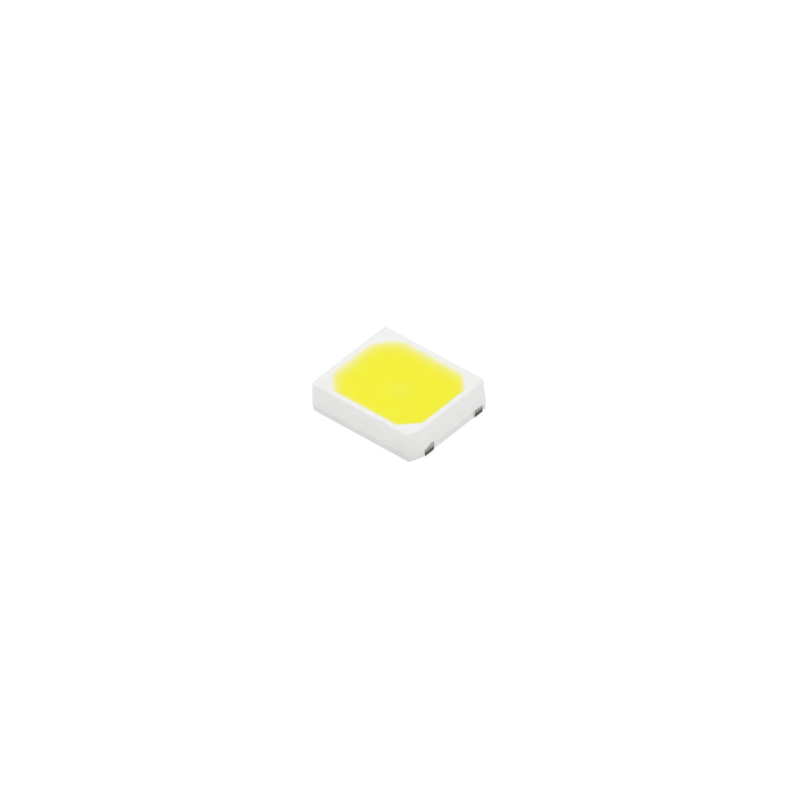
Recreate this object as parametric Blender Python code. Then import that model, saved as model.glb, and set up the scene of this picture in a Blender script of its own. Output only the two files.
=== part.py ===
"""White surface-mount LED in a 2835 package: a reflector moulded round a stamped lead frame.

The frame's origin is the centre of the solder plane. X runs along the package, towards the end
with the cut corner, Y across it, and Z up in the direction of the light. Everything is in metres.
"""

import math

import bmesh
import bpy
from mathutils import Vector

# Moulded body, measured at its parting line, level with the top of the leads
BODY_LENGTH = 3.44e-3
BODY_WIDTH = 2.83e-3
BODY_TOP = 0.93e-3
BODY_CORNER_RADIUS = 0.10e-3
END_DRAFT = 0.05e-3
SIDE_DRAFT = 0.005e-3
BASE_DRAFT = 0.02e-3
TOP_EDGE_RADIUS = 0.06e-3
STANDOFF = 0.01e-3

# Cut corner that marks the cathode end
MARK_ALONG_X = 0.155e-3
MARK_ALONG_Y = 0.38e-3
MARK_RADIUS = 0.04e-3

# Reflector cup: an octagon with sloping walls
END_RIM = 0.11e-3
SIDE_RIM = 0.11e-3
CUP_CORNER_CUT = 0.48e-3
CUP_CORNER_RADIUS = 0.17e-3
CUP_WALL_SLOPE = 0.30e-3
CUP_MOUTH_RADIUS = 0.02e-3

# Lead frame
LEAD_THICKNESS = 0.22e-3
ANODE_PAD_LENGTH = 0.70e-3
PAD_GAP = 0.45e-3
PAD_END_COVER = 0.22e-3
LEAD_SIDE_COVER = 0.21e-3
LEDGE_THICKNESS = 0.11e-3
LEDGE_INNER = 0.10e-3
LEDGE_SIDE = 0.17e-3
LEDGE_OUTER = 0.05e-3
LEDGE_RADIUS = 0.10e-3
LOCK_NOTCH_RADIUS = 0.10e-3
TAB_WIDTH = 0.33e-3
TAB_PROUD = 0.005e-3
TAB_ROOT = 0.25e-3
MARK_TO_TAB = 0.065e-3

# Mould gate in the plastic bar between the two solder pads
GATE_RADIUS = 0.12e-3
GATE_DEPTH = 0.04e-3

# Chip and its adhesive
CHIP_LENGTH = 0.56e-3
CHIP_WIDTH = 0.89e-3
CHIP_HEIGHT = 0.12e-3
ELECTRODE_RADIUS = 0.045e-3
ELECTRODE_HEIGHT = 0.005e-3
ELECTRODE_INSET = 0.115e-3
ADHESIVE_THICKNESS = 0.012e-3
ADHESIVE_FOOT = 0.03e-3
ADHESIVE_LIP = 0.01e-3

# Bond wires
WIRE_RADIUS = 0.0125e-3
BALL_RADIUS = 0.036e-3
BALL_HEIGHT = 0.022e-3
LOOP_HEIGHT = 0.19e-3
STITCH_LENGTH = 0.07e-3
STITCH_WIDTH = 0.055e-3
STITCH_THICKNESS = 0.012e-3
ANODE_FOOT_Y = 0.18e-3
CATHODE_FOOT_Y = -0.47e-3

# Phosphor fill
FILL_BELOW_RIM = 0.04e-3
FILL_DISH = 0.015e-3

# Gap between neighbouring pieces, which touch on the real lamp
CLEARANCE = 0.004e-3

# Facets
ARC_STEP = math.radians(11.25)
FILLET_STEPS = 3
DISC_SIDES = 24
WIRE_SIDES = 12
LOOP_STATIONS = 28
DISH_STEPS = 4
SMOOTH_ANGLE = math.radians(32)

# Heights of the stack on the cathode lead
ADHESIVE_BASE = LEAD_THICKNESS + CLEARANCE
CHIP_BASE = ADHESIVE_BASE + ADHESIVE_THICKNESS + CLEARANCE
CHIP_TOP = CHIP_BASE + CHIP_HEIGHT
ELECTRODE_TOP = CHIP_TOP + ELECTRODE_HEIGHT
BALL_BASE = ELECTRODE_TOP + CLEARANCE
STITCH_BASE = LEAD_THICKNESS + CLEARANCE

# Places along the package
CUP_MOUTH_X = BODY_LENGTH / 2 - END_DRAFT - END_RIM
CUP_MOUTH_Y = BODY_WIDTH / 2 - SIDE_DRAFT - SIDE_RIM
CUP_FLOOR_X = CUP_MOUTH_X - CUP_WALL_SLOPE
PAD_END_X = BODY_LENGTH / 2 - PAD_END_COVER
ANODE_PAD_X = -PAD_END_X + ANODE_PAD_LENGTH
CATHODE_PAD_X = ANODE_PAD_X + PAD_GAP
TAB_END_X = BODY_LENGTH / 2 + TAB_PROUD
TAB_ROOT_X = PAD_END_X - TAB_ROOT
LEDGE_Y = BODY_WIDTH / 2 - LEAD_SIDE_COVER
PAD_Y = LEDGE_Y - LEDGE_SIDE
MARK_TAB_Y = BODY_WIDTH / 2 - MARK_ALONG_Y - MARK_TO_TAB
ELECTRODE_Y = CHIP_WIDTH / 2 - ELECTRODE_INSET

# How far a cutting solid runs past what it cuts
OVERCUT = 0.05e-3


def clear_scene():
    """Removes every object that the scene starts with."""
    for thing in list(bpy.data.objects):
        bpy.data.objects.remove(thing, do_unlink=True)


def material(name, color, roughness, metallic=0.0):
    """A Principled BSDF in one plain finish."""
    made = bpy.data.materials.new(name)
    made.use_nodes = True
    shader = made.node_tree.nodes["Principled BSDF"]
    shader.inputs["Base Color"].default_value = (*color, 1.0)
    shader.inputs["Roughness"].default_value = roughness
    shader.inputs["Metallic"].default_value = metallic
    return made


def object_from(name, shape):
    """Puts a bmesh into a new object of the scene, with its faces pointing out."""
    bmesh.ops.recalc_face_normals(shape, faces=shape.faces)
    mesh = bpy.data.meshes.new(name)
    shape.to_mesh(mesh)
    shape.free()
    made = bpy.data.objects.new(name, mesh)
    bpy.context.scene.collection.objects.link(made)
    return made


def loft(name, rings):
    """A solid skinned over rings of equally many points, with a flat cap on the first and last."""
    shape = bmesh.new()
    loops = [[shape.verts.new(point) for point in ring] for ring in rings]
    for lower, upper in zip(loops, loops[1:]):
        count = len(lower)
        for i in range(count):
            j = (i + 1) % count
            shape.faces.new((lower[i], lower[j], upper[j], upper[i]))
    shape.faces.new(reversed(loops[0]))
    shape.faces.new(loops[-1])
    return object_from(name, shape)


def prism(name, outline, low, high):
    """A flat outline pulled up from one height to another."""
    shape = bmesh.new()
    face = shape.faces.new([shape.verts.new((x, y, low)) for x, y in outline])
    pulled = bmesh.ops.extrude_face_region(shape, geom=[face])
    top = [part for part in pulled["geom"] if isinstance(part, bmesh.types.BMVert)]
    bmesh.ops.translate(shape, verts=top, vec=(0, 0, high - low))
    return object_from(name, shape)


def disc(name, centre, radius, low, high):
    """An upright round post."""
    turns = [math.tau * step / DISC_SIDES for step in range(DISC_SIDES)]
    outline = [(centre[0] + radius * math.cos(a), centre[1] + radius * math.sin(a)) for a in turns]
    return prism(name, outline, low, high)


def combine(target, tool, operation):
    """Joins the tool to the target, or cuts it out, and deletes the tool."""
    modifier = target.modifiers.new("Boolean", "BOOLEAN")
    modifier.operation = operation
    modifier.solver = "EXACT"
    modifier.object = tool
    graph = bpy.context.evaluated_depsgraph_get()
    result = bpy.data.meshes.new_from_object(target.evaluated_get(graph))
    target.modifiers.clear()
    spare = [target.data, tool.data]
    target.data = result
    bpy.data.objects.remove(tool)
    for mesh in spare:
        bpy.data.meshes.remove(mesh)


def finish(piece, name, look):
    """Names a finished piece, gives it its material and shades its round faces smooth."""
    piece.name = name
    piece.data.name = name
    piece.data.materials.clear()
    piece.data.materials.append(look)
    piece.data.shade_smooth()
    piece.data.set_sharp_from_angle(angle=SMOOTH_ANGLE)
    return piece


def rounded(corners):
    """The outline through corners (x, y, radius), each turned into an arc of that radius."""
    outline = []
    for i, (x, y, radius) in enumerate(corners):
        here = Vector((x, y))
        back = (Vector(corners[i - 1][:2]) - here).normalized()
        ahead = (Vector(corners[(i + 1) % len(corners)][:2]) - here).normalized()
        half = back.angle(ahead) / 2
        centre = here + (back + ahead).normalized() * radius / math.sin(half)
        start = here + back * radius / math.tan(half) - centre
        sweep = math.pi - 2 * half
        steps = max(1, round(sweep / ARC_STEP))
        first = math.atan2(start.y, start.x)
        for step in range(steps + 1):
            angle = first + sweep * step / steps
            outline.append((centre.x + radius * math.cos(angle), centre.y + radius * math.sin(angle)))
    return outline


def rectangle(x0, x1, half_width, radius):
    """A rectangle between two places along X, centred across Y, with round corners."""
    left, right = sorted((x0, x1))
    return rounded([
        (right, -half_width, radius),
        (right, half_width, radius),
        (left, half_width, radius),
        (left, -half_width, radius),
    ])


def block(x0, x1, y0, y1):
    """A sharp-cornered rectangle between two places along X and two along Y."""
    left, right = sorted((x0, x1))
    near, far = sorted((y0, y1))
    return [(left, near), (right, near), (right, far), (left, far)]


def body_outline(inset_x, inset_y):
    """The body seen from above: a round-cornered rectangle with the mark cut from one corner."""
    x = BODY_LENGTH / 2 - inset_x
    y = BODY_WIDTH / 2 - inset_y
    return rounded([
        (x, -y + MARK_ALONG_Y, MARK_RADIUS),
        (x, y, BODY_CORNER_RADIUS),
        (-x, y, BODY_CORNER_RADIUS),
        (-x, -y, BODY_CORNER_RADIUS),
        (x - MARK_ALONG_X, -y, MARK_RADIUS),
    ])


def cup_outline(inset):
    """The cup's octagon, moved in from its mouth by one distance on every side."""
    x = CUP_MOUTH_X - inset
    y = CUP_MOUTH_Y - inset
    cut = CUP_CORNER_CUT - inset * (2 - math.sqrt(2))
    corners = [
        (x, -y + cut), (x, y - cut),
        (x - cut, y), (-x + cut, y),
        (-x, y - cut), (-x, -y + cut),
        (-x + cut, -y), (x - cut, -y),
    ]
    return rounded([(a, b, CUP_CORNER_RADIUS) for a, b in corners])


def cup_inset(height):
    """How far the sloping cup wall stands in from the mouth at a height."""
    return CUP_WALL_SLOPE * (BODY_TOP - height) / (BODY_TOP - LEAD_THICKNESS)


def fillet(radius):
    """Steps (sideways, up) of a quarter round that turns from upright to level."""
    turns = [math.pi / 2 * step / FILLET_STEPS for step in range(FILLET_STEPS + 1)]
    return [(radius * (1 - math.cos(a)), radius * math.sin(a)) for a in turns]


def raised(outline, height):
    """An outline lifted to a height."""
    return [(x, y, height) for x, y in outline]


def body_blank():
    """The outside of the moulded body: drafted both ways from its parting line, top edge rounded."""
    rings = [
        raised(body_outline(BASE_DRAFT, BASE_DRAFT), STANDOFF),
        raised(body_outline(0.0, 0.0), LEAD_THICKNESS),
    ]
    for aside, up in fillet(TOP_EDGE_RADIUS):
        outline = body_outline(END_DRAFT + aside, SIDE_DRAFT + aside)
        rings.append(raised(outline, BODY_TOP - TOP_EDGE_RADIUS + up))
    return loft("body_blank", rings)


def cup_core():
    """The mould core of the cup: it seals on the leads and flares round the mouth's edge."""
    rings = [raised(cup_outline(CUP_WALL_SLOPE), LEAD_THICKNESS)]
    start = BODY_TOP - CUP_MOUTH_RADIUS
    for aside, up in fillet(CUP_MOUTH_RADIUS):
        rings.append(raised(cup_outline(cup_inset(start) - aside), start + up))
    rings.append(raised(cup_outline(cup_inset(start) - CUP_MOUTH_RADIUS), BODY_TOP + OVERCUT))
    return loft("cup_core", rings)


def tabs_of(side):
    """The two tabs of the lead at one end, each as its lowest and highest Y."""
    far = (LEDGE_Y - TAB_WIDTH, LEDGE_Y)
    if side > 0:
        return [far, (-MARK_TAB_Y, -MARK_TAB_Y + TAB_WIDTH)]
    return [far, (-LEDGE_Y, -LEDGE_Y + TAB_WIDTH)]


def stamped_lead(side, pad_x, grow=0.0):
    """The lead at one end (side 1 or -1), from its pad's inner edge to its sheared tabs.

    The pad and the tabs have the strip's full thickness. The ledge round the pad is coined to
    half of that from below, and the moulding grips under it and in the notch of each long side.
    A lead grown on all sides cuts the pocket that the moulding leaves for the true one.
    """
    high = LEAD_THICKNESS + grow
    pad = rectangle(pad_x - side * grow, side * (PAD_END_X + grow), PAD_Y + grow, LEDGE_RADIUS / 2)
    ledge_x = pad_x - side * LEDGE_INNER
    ledge_end = side * (PAD_END_X + LEDGE_OUTER + grow)
    ledge = rectangle(ledge_x - side * grow, ledge_end, LEDGE_Y + grow, LEDGE_RADIUS)
    lead = prism("lead", pad, -grow, high)
    combine(lead, prism("ledge", ledge, LEAD_THICKNESS - LEDGE_THICKNESS - grow, high), "UNION")
    for low_y, high_y in tabs_of(side):
        tab = block(side * (TAB_ROOT_X - grow), side * (TAB_END_X + grow), low_y - grow, high_y + grow)
        combine(lead, prism("tab", tab, -grow, high), "UNION")
    notch_x = (ledge_x + side * TAB_ROOT_X) / 2
    for edge in (LEDGE_Y, -LEDGE_Y):
        notch = disc("notch", (notch_x, edge), LOCK_NOTCH_RADIUS - grow, -OVERCUT, high + OVERCUT)
        combine(lead, notch, "DIFFERENCE")
    return lead


def housing():
    """The reflector body, with its cup, its pockets for the leads and the gate under the bar."""
    body = body_blank()
    combine(body, cup_core(), "DIFFERENCE")
    combine(body, stamped_lead(1, CATHODE_PAD_X, CLEARANCE), "DIFFERENCE")
    combine(body, stamped_lead(-1, ANODE_PAD_X, CLEARANCE), "DIFFERENCE")
    gate_x = (ANODE_PAD_X + CATHODE_PAD_X) / 2
    gate = disc("gate", (gate_x, 0.0), GATE_RADIUS, -OVERCUT, STANDOFF + GATE_DEPTH)
    combine(body, gate, "DIFFERENCE")
    return body


def chip():
    """The die: a sapphire block with a round electrode near each end of its top."""
    outline = block(-CHIP_LENGTH / 2, CHIP_LENGTH / 2, -CHIP_WIDTH / 2, CHIP_WIDTH / 2)
    die = prism("chip", outline, CHIP_BASE, CHIP_TOP)
    for y in (ELECTRODE_Y, -ELECTRODE_Y):
        electrode = disc("electrode", (0.0, y), ELECTRODE_RADIUS, CHIP_TOP - CHIP_HEIGHT / 4, ELECTRODE_TOP)
        combine(die, electrode, "UNION")
    return die


def round_chip(margin, radius):
    """A round-cornered rectangle that stands off the chip's sides by a margin."""
    reach = CHIP_LENGTH / 2 + margin
    return rectangle(-reach, reach, CHIP_WIDTH / 2 + margin, radius)


def adhesive():
    """The squeezed-out layer under the chip, wider at its foot."""
    foot = round_chip(ADHESIVE_FOOT, ADHESIVE_FOOT)
    lip = round_chip(ADHESIVE_LIP, ADHESIVE_FOOT)
    high = ADHESIVE_BASE + ADHESIVE_THICKNESS
    return loft("adhesive", [raised(foot, ADHESIVE_BASE), raised(lip, high)])


def wire_stations(reach):
    """Stations along one wire as (forward, up, width, thickness, tilt of the section).

    It starts in a ball squashed on the electrode, leaves it upright, bends over in one cubic
    Bezier loop, comes down on the lead and ends in a stitch pressed flat.
    """
    upright = math.pi / 2
    ball = [(0.0, 0.75), (0.3, 1.0), (0.7, 0.95), (1.0, 0.5)]
    stations = [
        (0.0, BALL_BASE + BALL_HEIGHT * up, BALL_RADIUS * part, BALL_RADIUS * part, upright)
        for up, part in ball
    ]
    neck = BALL_BASE + BALL_HEIGHT
    landing = reach - STITCH_LENGTH
    middle = STITCH_BASE + WIRE_RADIUS
    shape = [
        Vector((0.0, neck)),
        Vector((0.0, neck + 1.6 * LOOP_HEIGHT)),
        Vector((0.45 * landing, neck + LOOP_HEIGHT)),
        Vector((landing, middle)),
    ]
    for step in range(1, LOOP_STATIONS + 1):
        t = step / LOOP_STATIONS
        s = 1 - t
        place = s**3 * shape[0] + 3 * s * s * t * shape[1] + 3 * s * t * t * shape[2] + t**3 * shape[3]
        pull = s * s * (shape[1] - shape[0]) + 2 * s * t * (shape[2] - shape[1])
        pull += t * t * (shape[3] - shape[2])
        stations.append((place.x, place.y, WIRE_RADIUS, WIRE_RADIUS, math.atan2(pull.y, pull.x)))
    flat = STITCH_THICKNESS / 2
    stations.append((reach - STITCH_LENGTH / 2, STITCH_BASE + flat, STITCH_WIDTH / 2, flat, 0.0))
    stations.append((reach, STITCH_BASE + flat, STITCH_WIDTH / 2, flat, 0.0))
    return stations


def bond_wire(start, foot, grow=0.0):
    """A wire from an electrode to its foot on a lead, or the tunnel that it fills when grown."""
    run = Vector(foot) - Vector(start)
    reach = run.length
    ahead = run.normalized()
    across = Vector((-ahead.y, ahead.x, 0.0))
    stations = wire_stations(reach)
    rings = []
    for place, (forward, up, width, thick, tilt) in enumerate(stations):
        if place == 0:
            up -= grow
        if place == len(stations) - 1:
            forward += grow
        centre = Vector((start[0] + ahead.x * forward, start[1] + ahead.y * forward, up))
        lift = Vector((-ahead.x * math.sin(tilt), -ahead.y * math.sin(tilt), math.cos(tilt)))
        ring = []
        for side in range(WIRE_SIDES):
            turn = math.tau * side / WIRE_SIDES
            aside = across * (width + grow) * math.cos(turn)
            ring.append(centre + aside + lift * (thick + grow) * math.sin(turn))
        rings.append(ring)
    return loft("wire", rings)


def anode_wire(grow=0.0):
    """The wire that crosses the gap to the small lead."""
    ledge_edge = ANODE_PAD_X + LEDGE_INNER
    return bond_wire((0.0, ELECTRODE_Y), ((ledge_edge - CUP_FLOOR_X) / 2, ANODE_FOOT_Y), grow)


def cathode_wire(grow=0.0):
    """The wire that comes down beside the chip on the lead that carries it."""
    chip_edge = CHIP_LENGTH / 2 + ADHESIVE_FOOT
    return bond_wire((0.0, -ELECTRODE_Y), ((chip_edge + CUP_FLOOR_X) / 2, CATHODE_FOOT_Y), grow)


def phosphor_fill():
    """The cast silicone: it has the cup's form, a dished top, and hollows where the inner pieces lie."""
    base = LEAD_THICKNESS + CLEARANCE
    level = BODY_TOP - FILL_BELOW_RIM
    rings = [
        raised(cup_outline(cup_inset(base) + CLEARANCE), base),
        raised(cup_outline(cup_inset(level) + CLEARANCE), level),
    ]
    rim = rings[-1]
    for step in range(1, DISH_STEPS):
        part = 1 - step / DISH_STEPS
        sunk = level - FILL_DISH * (1 - part * part)
        rings.append([(x * part, y * part, sunk) for x, y, _ in rim])
    fill = loft("fill", rings)
    chip_space = round_chip(CLEARANCE, CLEARANCE)
    chip_hollow = prism("chip_hollow", chip_space, base - OVERCUT, ELECTRODE_TOP + CLEARANCE)
    combine(fill, chip_hollow, "DIFFERENCE")
    adhesive_space = round_chip(ADHESIVE_FOOT + CLEARANCE, ADHESIVE_FOOT)
    adhesive_top = ADHESIVE_BASE + ADHESIVE_THICKNESS + CLEARANCE
    combine(fill, prism("adhesive_hollow", adhesive_space, base - OVERCUT, adhesive_top), "DIFFERENCE")
    combine(fill, anode_wire(CLEARANCE), "DIFFERENCE")
    combine(fill, cathode_wire(CLEARANCE), "DIFFERENCE")
    return fill


def main():
    clear_scene()
    white = material("white_moulding", (0.83, 0.83, 0.82), 0.55)
    silver = material("silver_plate", (0.72, 0.71, 0.68), 0.3, 1.0)
    yellow = material("phosphor_silicone", (0.90, 0.86, 0.045), 0.4)
    sapphire = material("sapphire_chip", (0.42, 0.50, 0.62), 0.12)
    glue = material("clear_adhesive", (0.80, 0.79, 0.72), 0.35)
    gold = material("gold_wire", (0.93, 0.66, 0.24), 0.22, 1.0)
    finish(housing(), "housing", white)
    finish(stamped_lead(1, CATHODE_PAD_X), "cathode_lead", silver)
    finish(stamped_lead(-1, ANODE_PAD_X), "anode_lead", silver)
    finish(adhesive(), "die_attach", glue)
    finish(chip(), "led_chip", sapphire)
    finish(cathode_wire(), "cathode_bond_wire", gold)
    finish(anode_wire(), "anode_bond_wire", gold)
    finish(phosphor_fill(), "phosphor_fill", yellow)


main()
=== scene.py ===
"""Finish of a white surface-mount LED in a 2835 package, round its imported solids.

Lengths are in metres, in the frame of the solids: X runs along the package towards the end with
the cut corner, Y across it, and Z up from the solder plane in the direction of the light. The
patterns in the materials are measured in millimetres.
"""

import math

import bmesh
import bpy
import numpy as np
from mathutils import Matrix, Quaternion, Vector


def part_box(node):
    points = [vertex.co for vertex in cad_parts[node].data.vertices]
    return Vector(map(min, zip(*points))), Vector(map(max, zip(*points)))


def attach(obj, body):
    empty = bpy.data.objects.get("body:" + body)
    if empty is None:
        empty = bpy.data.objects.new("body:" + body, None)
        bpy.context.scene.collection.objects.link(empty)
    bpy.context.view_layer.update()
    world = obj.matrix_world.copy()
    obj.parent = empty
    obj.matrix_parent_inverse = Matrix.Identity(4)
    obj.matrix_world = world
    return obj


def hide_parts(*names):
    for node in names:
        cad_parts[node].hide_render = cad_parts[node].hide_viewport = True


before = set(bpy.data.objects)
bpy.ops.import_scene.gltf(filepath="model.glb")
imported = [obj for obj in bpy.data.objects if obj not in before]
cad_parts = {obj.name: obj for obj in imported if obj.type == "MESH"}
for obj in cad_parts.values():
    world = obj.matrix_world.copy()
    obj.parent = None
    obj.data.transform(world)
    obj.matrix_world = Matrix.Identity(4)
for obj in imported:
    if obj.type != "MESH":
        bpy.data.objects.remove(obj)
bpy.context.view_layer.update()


# Lead frame
# Two leads stamped from 0.22 mm copper alloy strip and plated with silver. The rim of each solder pad
# is coined to half thickness from below and notched, so that the moulding grips it. The shear that
# freed the tabs from their strip bared dark alloy at their ends, and smeared some up the moulding.
UM = 1e-6
PER_MM = 1e3
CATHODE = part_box("cathode_lead")
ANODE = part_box("anode_lead")
LEAD_TOP = CATHODE[1].z
TAB_END = CATHODE[1].x
LEDGE_Y = CATHODE[1].y
LEDGE_INNER = 100 * UM
LEDGE_SIDE = 170 * UM
LEDGE_OUTER = 50 * UM
LEDGE_UNDERSIDE = 110 * UM
LEDGE_RADIUS = 100 * UM
PAD_RADIUS = 50 * UM
PAD_END = 1500 * UM
RIM_END = PAD_END + LEDGE_OUTER
TAB_ROOT = 1250 * UM
TAB_FILLET = 30 * UM
TAB_WIDTH = 330 * UM
MARK_TAB_Y = 970 * UM
NOTCH_RADIUS = 100 * UM
DIE_ROLL = 14 * UM
TOP_BREAK = 6 * UM
FRACTURE_TOP = 145 * UM
FRACTURE_LEAN = 9 * UM
FRACTURE_GRAIN = 1.5 * UM
SMEAR_THICKNESS = 4 * UM
SMEAR_BACK = 0.3 * UM
SMEAR_SIDE = 165 * UM
SMEAR_FOOT = 60 * UM
SMEAR_ROOT = 40 * UM
SMEARS = (
    dict(outer=-MARK_TAB_Y, inwards=1, height=66 * UM, peak=0.78, width=0.38, overhang=18 * UM),
    dict(outer=LEDGE_Y, inwards=-1, height=24 * UM, peak=0.88, width=0.20, overhang=-4 * UM),
)
GAP = 4 * UM
WELD = 0.02 * UM
LEADS = {
    "cathode_lead": dict(side=1, ledge=CATHODE[0].x, marked=True),
    "anode_lead": dict(side=-1, ledge=-ANODE[1].x, marked=False),
}
ROLLED_SILVER = ((0.75, 0.74, 0.71, 1), (0.82, 0.81, 0.78, 1))
TARNISH = (0.62, 0.57, 0.47, 1)
TARNISH_SHARE = 0.35
TORN_ALLOY = ((0.062, 0.062, 0.055, 1), (0.13, 0.128, 0.115, 1))
SHEARED_ALLOY = ((0.13, 0.13, 0.12, 1), (0.235, 0.233, 0.22, 1))
BURNISHED_ALLOY = ((0.28, 0.278, 0.265, 1), (0.375, 0.373, 0.36, 1))
DRAWN_ALLOY = (0.42, 0.418, 0.405, 1)
TORN_TO_SHEARED = (0.10, 0.13)
SHEARED_TO_BURNISHED = (0.15, 0.17)
BURNISHED_TO_DRAWN = (0.19, 0.25)
CUT_RAGGED = 0.03
CUT_STARTS = TAB_END * PER_MM - 0.0145
CUT_FULL = TAB_END * PER_MM - 0.0095
FLASH_WHITE = (0.74, 0.74, 0.72, 1)
FLASH_EDGE = (LEDGE_Y - TAB_WIDTH + 35 * UM) * PER_MM
FLASH_SOFT = 0.008
FLASH_RAGGED = 0.012
FAR_HALF = (0.0, 0.5)


def arc(centre_x, centre_y, radius, first, last, count):
    """Points of a circle from one angle in degrees to another, in equal turns."""
    turn = np.radians(np.linspace(first, last, count))
    return np.stack([centre_x + radius * np.cos(turn), centre_y + radius * np.sin(turn)], axis=1)


def spread(outline, distance):
    """Moves a closed outline out by a distance: each point goes along the mean of its two edges'
    normals, lengthened by 1 / cosine of half their angle, so that the edges stay parallel."""
    edge = np.roll(outline, -1, axis=0) - outline
    edge = edge / np.linalg.norm(edge, axis=1, keepdims=True)
    normal = np.stack([edge[:, 1], -edge[:, 0]], axis=1)
    both = normal + np.roll(normal, 1, axis=0)
    both = both / np.linalg.norm(both, axis=1, keepdims=True)
    return outline + distance * both / (both * normal).sum(axis=1, keepdims=True)


def level(outline, height):
    """An outline (x, y) lifted to a height."""
    return np.column_stack([outline, np.full(len(outline), height)])


def tab_end(y):
    """The end of a tab, counted up from y, with many points for the grain of its cut."""
    inner = np.linspace(y + DIE_ROLL + TOP_BREAK, y + TAB_WIDTH - DIE_ROLL - TOP_BREAK, 45)
    along = np.concatenate([[y], inner, [y + TAB_WIDTH]])
    return np.column_stack([np.full(len(along), TAB_END), along])


def lead_outline(notch_x, marked, inner, half_width, radius, end, notch):
    """A lead from above, counter-clockwise, with X counted outwards from the middle of the package.

    Arcs and lines join the inner corner, the long side with its half-round notch, the tab at each
    side of the end, and the same way back. Both levels of a lead have equally many points."""
    turn = np.radians(np.linspace(180, 0, 13))
    low_notch = np.stack([notch_x + NOTCH_RADIUS * np.cos(turn), -half_width + notch * np.sin(turn)], axis=1)
    low_y = -MARK_TAB_Y if marked else -LEDGE_Y
    low_root = [(TAB_ROOT - TAB_FILLET, -half_width), (TAB_ROOT, -LEDGE_Y)]
    if marked:
        low_root = [*arc(end - radius, -half_width + radius, radius, 270, 360, 9), (RIM_END, low_y)]
    between = [(RIM_END, low_y + TAB_WIDTH), (end, low_y + TAB_WIDTH + TAB_FILLET),
               (end, LEDGE_Y - TAB_WIDTH - TAB_FILLET), (RIM_END, LEDGE_Y - TAB_WIDTH)]
    return np.concatenate([
        arc(inner + radius, -half_width + radius, radius, 180, 270, 9),
        low_notch,
        low_root,
        tab_end(low_y),
        between,
        tab_end(LEDGE_Y - TAB_WIDTH),
        [(TAB_ROOT, LEDGE_Y), (TAB_ROOT - TAB_FILLET, half_width)],
        (low_notch * (1, -1))[::-1],
        arc(inner + radius, half_width - radius, radius, 90, 180, 9),
    ])


def lead_levels(ledge, marked):
    """The outlines of a lead's two levels: the solder pad below, and the coined ledge above."""
    notch_x = (ledge + TAB_ROOT) / 2
    pad_y = LEDGE_Y - LEDGE_SIDE
    pad = lead_outline(notch_x, marked, ledge + LEDGE_INNER, pad_y, PAD_RADIUS, PAD_END, 0.0)
    rim = lead_outline(notch_x, marked, ledge, LEDGE_Y, LEDGE_RADIUS, RIM_END, NOTCH_RADIUS)
    return pad, rim


def lead_rings(ledge, marked, seed):
    """Rings of a lead from its foot up: a quarter round where the die drew the edge in, the pad's
    wall, the ledge's wall and a small break at the top. The tab ends lean in below the burnished
    zone and carry a seeded grain, smoothed over neighbouring points."""
    pad, rim = lead_levels(ledge, marked)
    rings = [level(spread(pad, -DIE_ROLL * (1 - np.sin(turn))), DIE_ROLL * (1 - np.cos(turn)))
             for turn in np.radians(np.linspace(0, 90, 5))]
    rings += [level(pad, z) for z in np.linspace(DIE_ROLL, LEDGE_UNDERSIDE, 7)[1:]]
    rings += [level(rim, z) for z in np.linspace(LEDGE_UNDERSIDE, LEAD_TOP - TOP_BREAK, 7)]
    rings += [level(spread(rim, -TOP_BREAK * (1 - np.cos(turn))), LEAD_TOP - TOP_BREAK * (1 - np.sin(turn)))
              for turn in np.radians((45, 90))]
    rings = np.array(rings)
    grain = np.random.default_rng(seed).normal(0, FRACTURE_GRAIN, rings.shape[:2])
    grain = (2 * grain + np.roll(grain, 1, axis=1) + np.roll(grain, -1, axis=1)) / 2
    fracture = np.clip((FRACTURE_TOP - rings[:, :, 2]) / FRACTURE_TOP, 0, 1)
    at_end = rings[:, :, 0] > TAB_END - DIE_ROLL - WELD
    lean = np.where(fracture > 0, FRACTURE_LEAN * fracture + np.abs(grain), 0)
    rings[:, :, 0] -= np.where(at_end, lean, 0)
    return rings


def pocket_rings(ledge, marked):
    """Rings of the space that the moulding leaves for a lead, a gap wider on all sides."""
    pad, rim = (spread(outline, GAP) for outline in lead_levels(ledge, marked))
    shelf = LEDGE_UNDERSIDE - GAP
    return np.array([level(pad, -GAP), level(pad, shelf), level(rim, shelf), level(rim, LEAD_TOP + GAP)])


def skin(name, rings):
    """Quads between neighbouring rings of a grid (rings, points, xyz), each ring closed on itself,
    and a flat face on the first and last ring. Points that coincide are merged, faces point out."""
    points = rings.shape[1]
    low = np.arange(rings[:-1, :, 0].size).reshape(-1, points)
    ahead = np.roll(low, -1, axis=1)
    quads = np.stack([low, ahead, ahead + points, low + points], axis=2).reshape(-1, 4)
    last = rings[:, :, 0].size - points
    caps = [list(range(points))[::-1], list(range(last, last + points))]
    mesh = bpy.data.meshes.new(name)
    mesh.from_pydata(rings.reshape(-1, 3).tolist(), [], quads.tolist() + caps)
    shape = bmesh.new()
    shape.from_mesh(mesh)
    bmesh.ops.remove_doubles(shape, verts=shape.verts, dist=WELD)
    bmesh.ops.recalc_face_normals(shape, faces=shape.faces)
    shape.to_mesh(mesh)
    shape.free()
    made = bpy.data.objects.new(name, mesh)
    bpy.context.scene.collection.objects.link(made)
    return made


def soften(piece, sharp_degrees):
    """Smooth shading with sharp edges above an angle, and normals weighted by face area."""
    piece.data.shade_smooth()
    piece.data.set_sharp_from_angle(angle=math.radians(sharp_degrees))
    weighted = piece.modifiers.new("weighted_normals", "WEIGHTED_NORMAL")
    weighted.keep_sharp = True


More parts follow.
